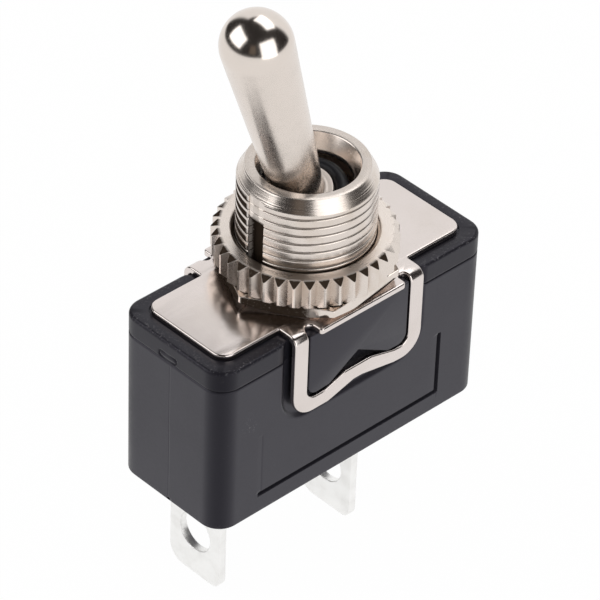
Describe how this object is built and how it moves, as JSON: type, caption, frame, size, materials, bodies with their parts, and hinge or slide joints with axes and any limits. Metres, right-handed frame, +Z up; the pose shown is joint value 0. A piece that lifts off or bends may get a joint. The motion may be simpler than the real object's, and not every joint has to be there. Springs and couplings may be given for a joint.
{
  "type": "panel toggle switch",
  "caption": "Single-pole panel toggle switch: threaded bush with nuts, leaning metal lever, folded metal frame round a dark moulded case, and flat solder lugs below.",
  "frame": {"origin": "on the bush axis at the top face of the frame plate", "axes": "+Z up the bush, towards the lever's round end; +X along the case, away from the side that the lever leans to; +Y across the case, away from its grooved long face"},
  "size_m": [0.0309, 0.0159, 0.0565],
  "materials": {
    "case_moulding": "moulded dark grey thermoset, satin",
    "cover_moulding": "moulded black thermoset, satin",
    "plated_sheet": "nickel-plated steel sheet, dull bright",
    "fibre": "vulcanised fibre, matt",
    "plated_bush": "nickel-plated brass, bright",
    "plated_nut": "nickel-plated brass, bright",
    "plated_ring": "nickel-plated brass, bright",
    "plated_lever": "nickel-plated brass, polished tip and satin stem",
    "steel_pin": "ground steel",
    "seal_rubber": "black rubber",
    "nylon": "natural nylon",
    "spring_wire": "spring wire",
    "contact_brass": "rolled brass sheet",
    "contact_silver": "fine silver",
    "brass_rivet": "brass",
    "tinned_lug": "tin-plated brass, soft bright"
  },
  "bodies": {
    "switch_body": {"case": "case_moulding", "cover": "cover_moulding", "frame_plate": "plated_sheet", "staking_washer": "plated_sheet", "insulator": "fibre", "bush": "plated_bush", "hex_nut": "plated_nut", "knurled_nut": "plated_ring", "fulcrum": "contact_brass", "fulcrum_rivet": "brass_rivet", "common_terminal": "tinned_lug", "end_terminal": "tinned_lug", "fixed_contact": "contact_silver"},
    "lever": {"lever": "plated_lever", "pivot_pin": "steel_pin", "seal_ring": "seal_rubber", "plunger_spring": "spring_wire"},
    "plunger": {"plunger": "nylon"},
    "rocker": {"rocker": "contact_brass", "rocker_contact": "contact_silver"}
  },
  "joints": [
    {"name": "lever_tilt", "type": "hinge", "parent": "switch_body", "child": "lever", "pos_m": [0, 0, 0.005], "axis": [0, 1, 0], "range_deg": [0, 34.3]},
    {"name": "rocker_tilt", "type": "hinge", "parent": "switch_body", "child": "rocker", "pos_m": [0, 0, -0.0075], "axis": [0, 1, 0], "range_deg": [-16, 0]},
    {"name": "plunger_slide", "type": "slide", "parent": "lever", "child": "plunger", "axis": [-0.2949, 0, 0.9555], "range_m": [0, 0.0008], "stiffness_N_per_m": 500, "springref_m": -0.002, "deforming": ["plunger_spring"]}
  ],
  "couplings": [
    {"joint": "rocker_tilt", "follows": "lever_tilt", "ratio": -0.46647}
  ]
}
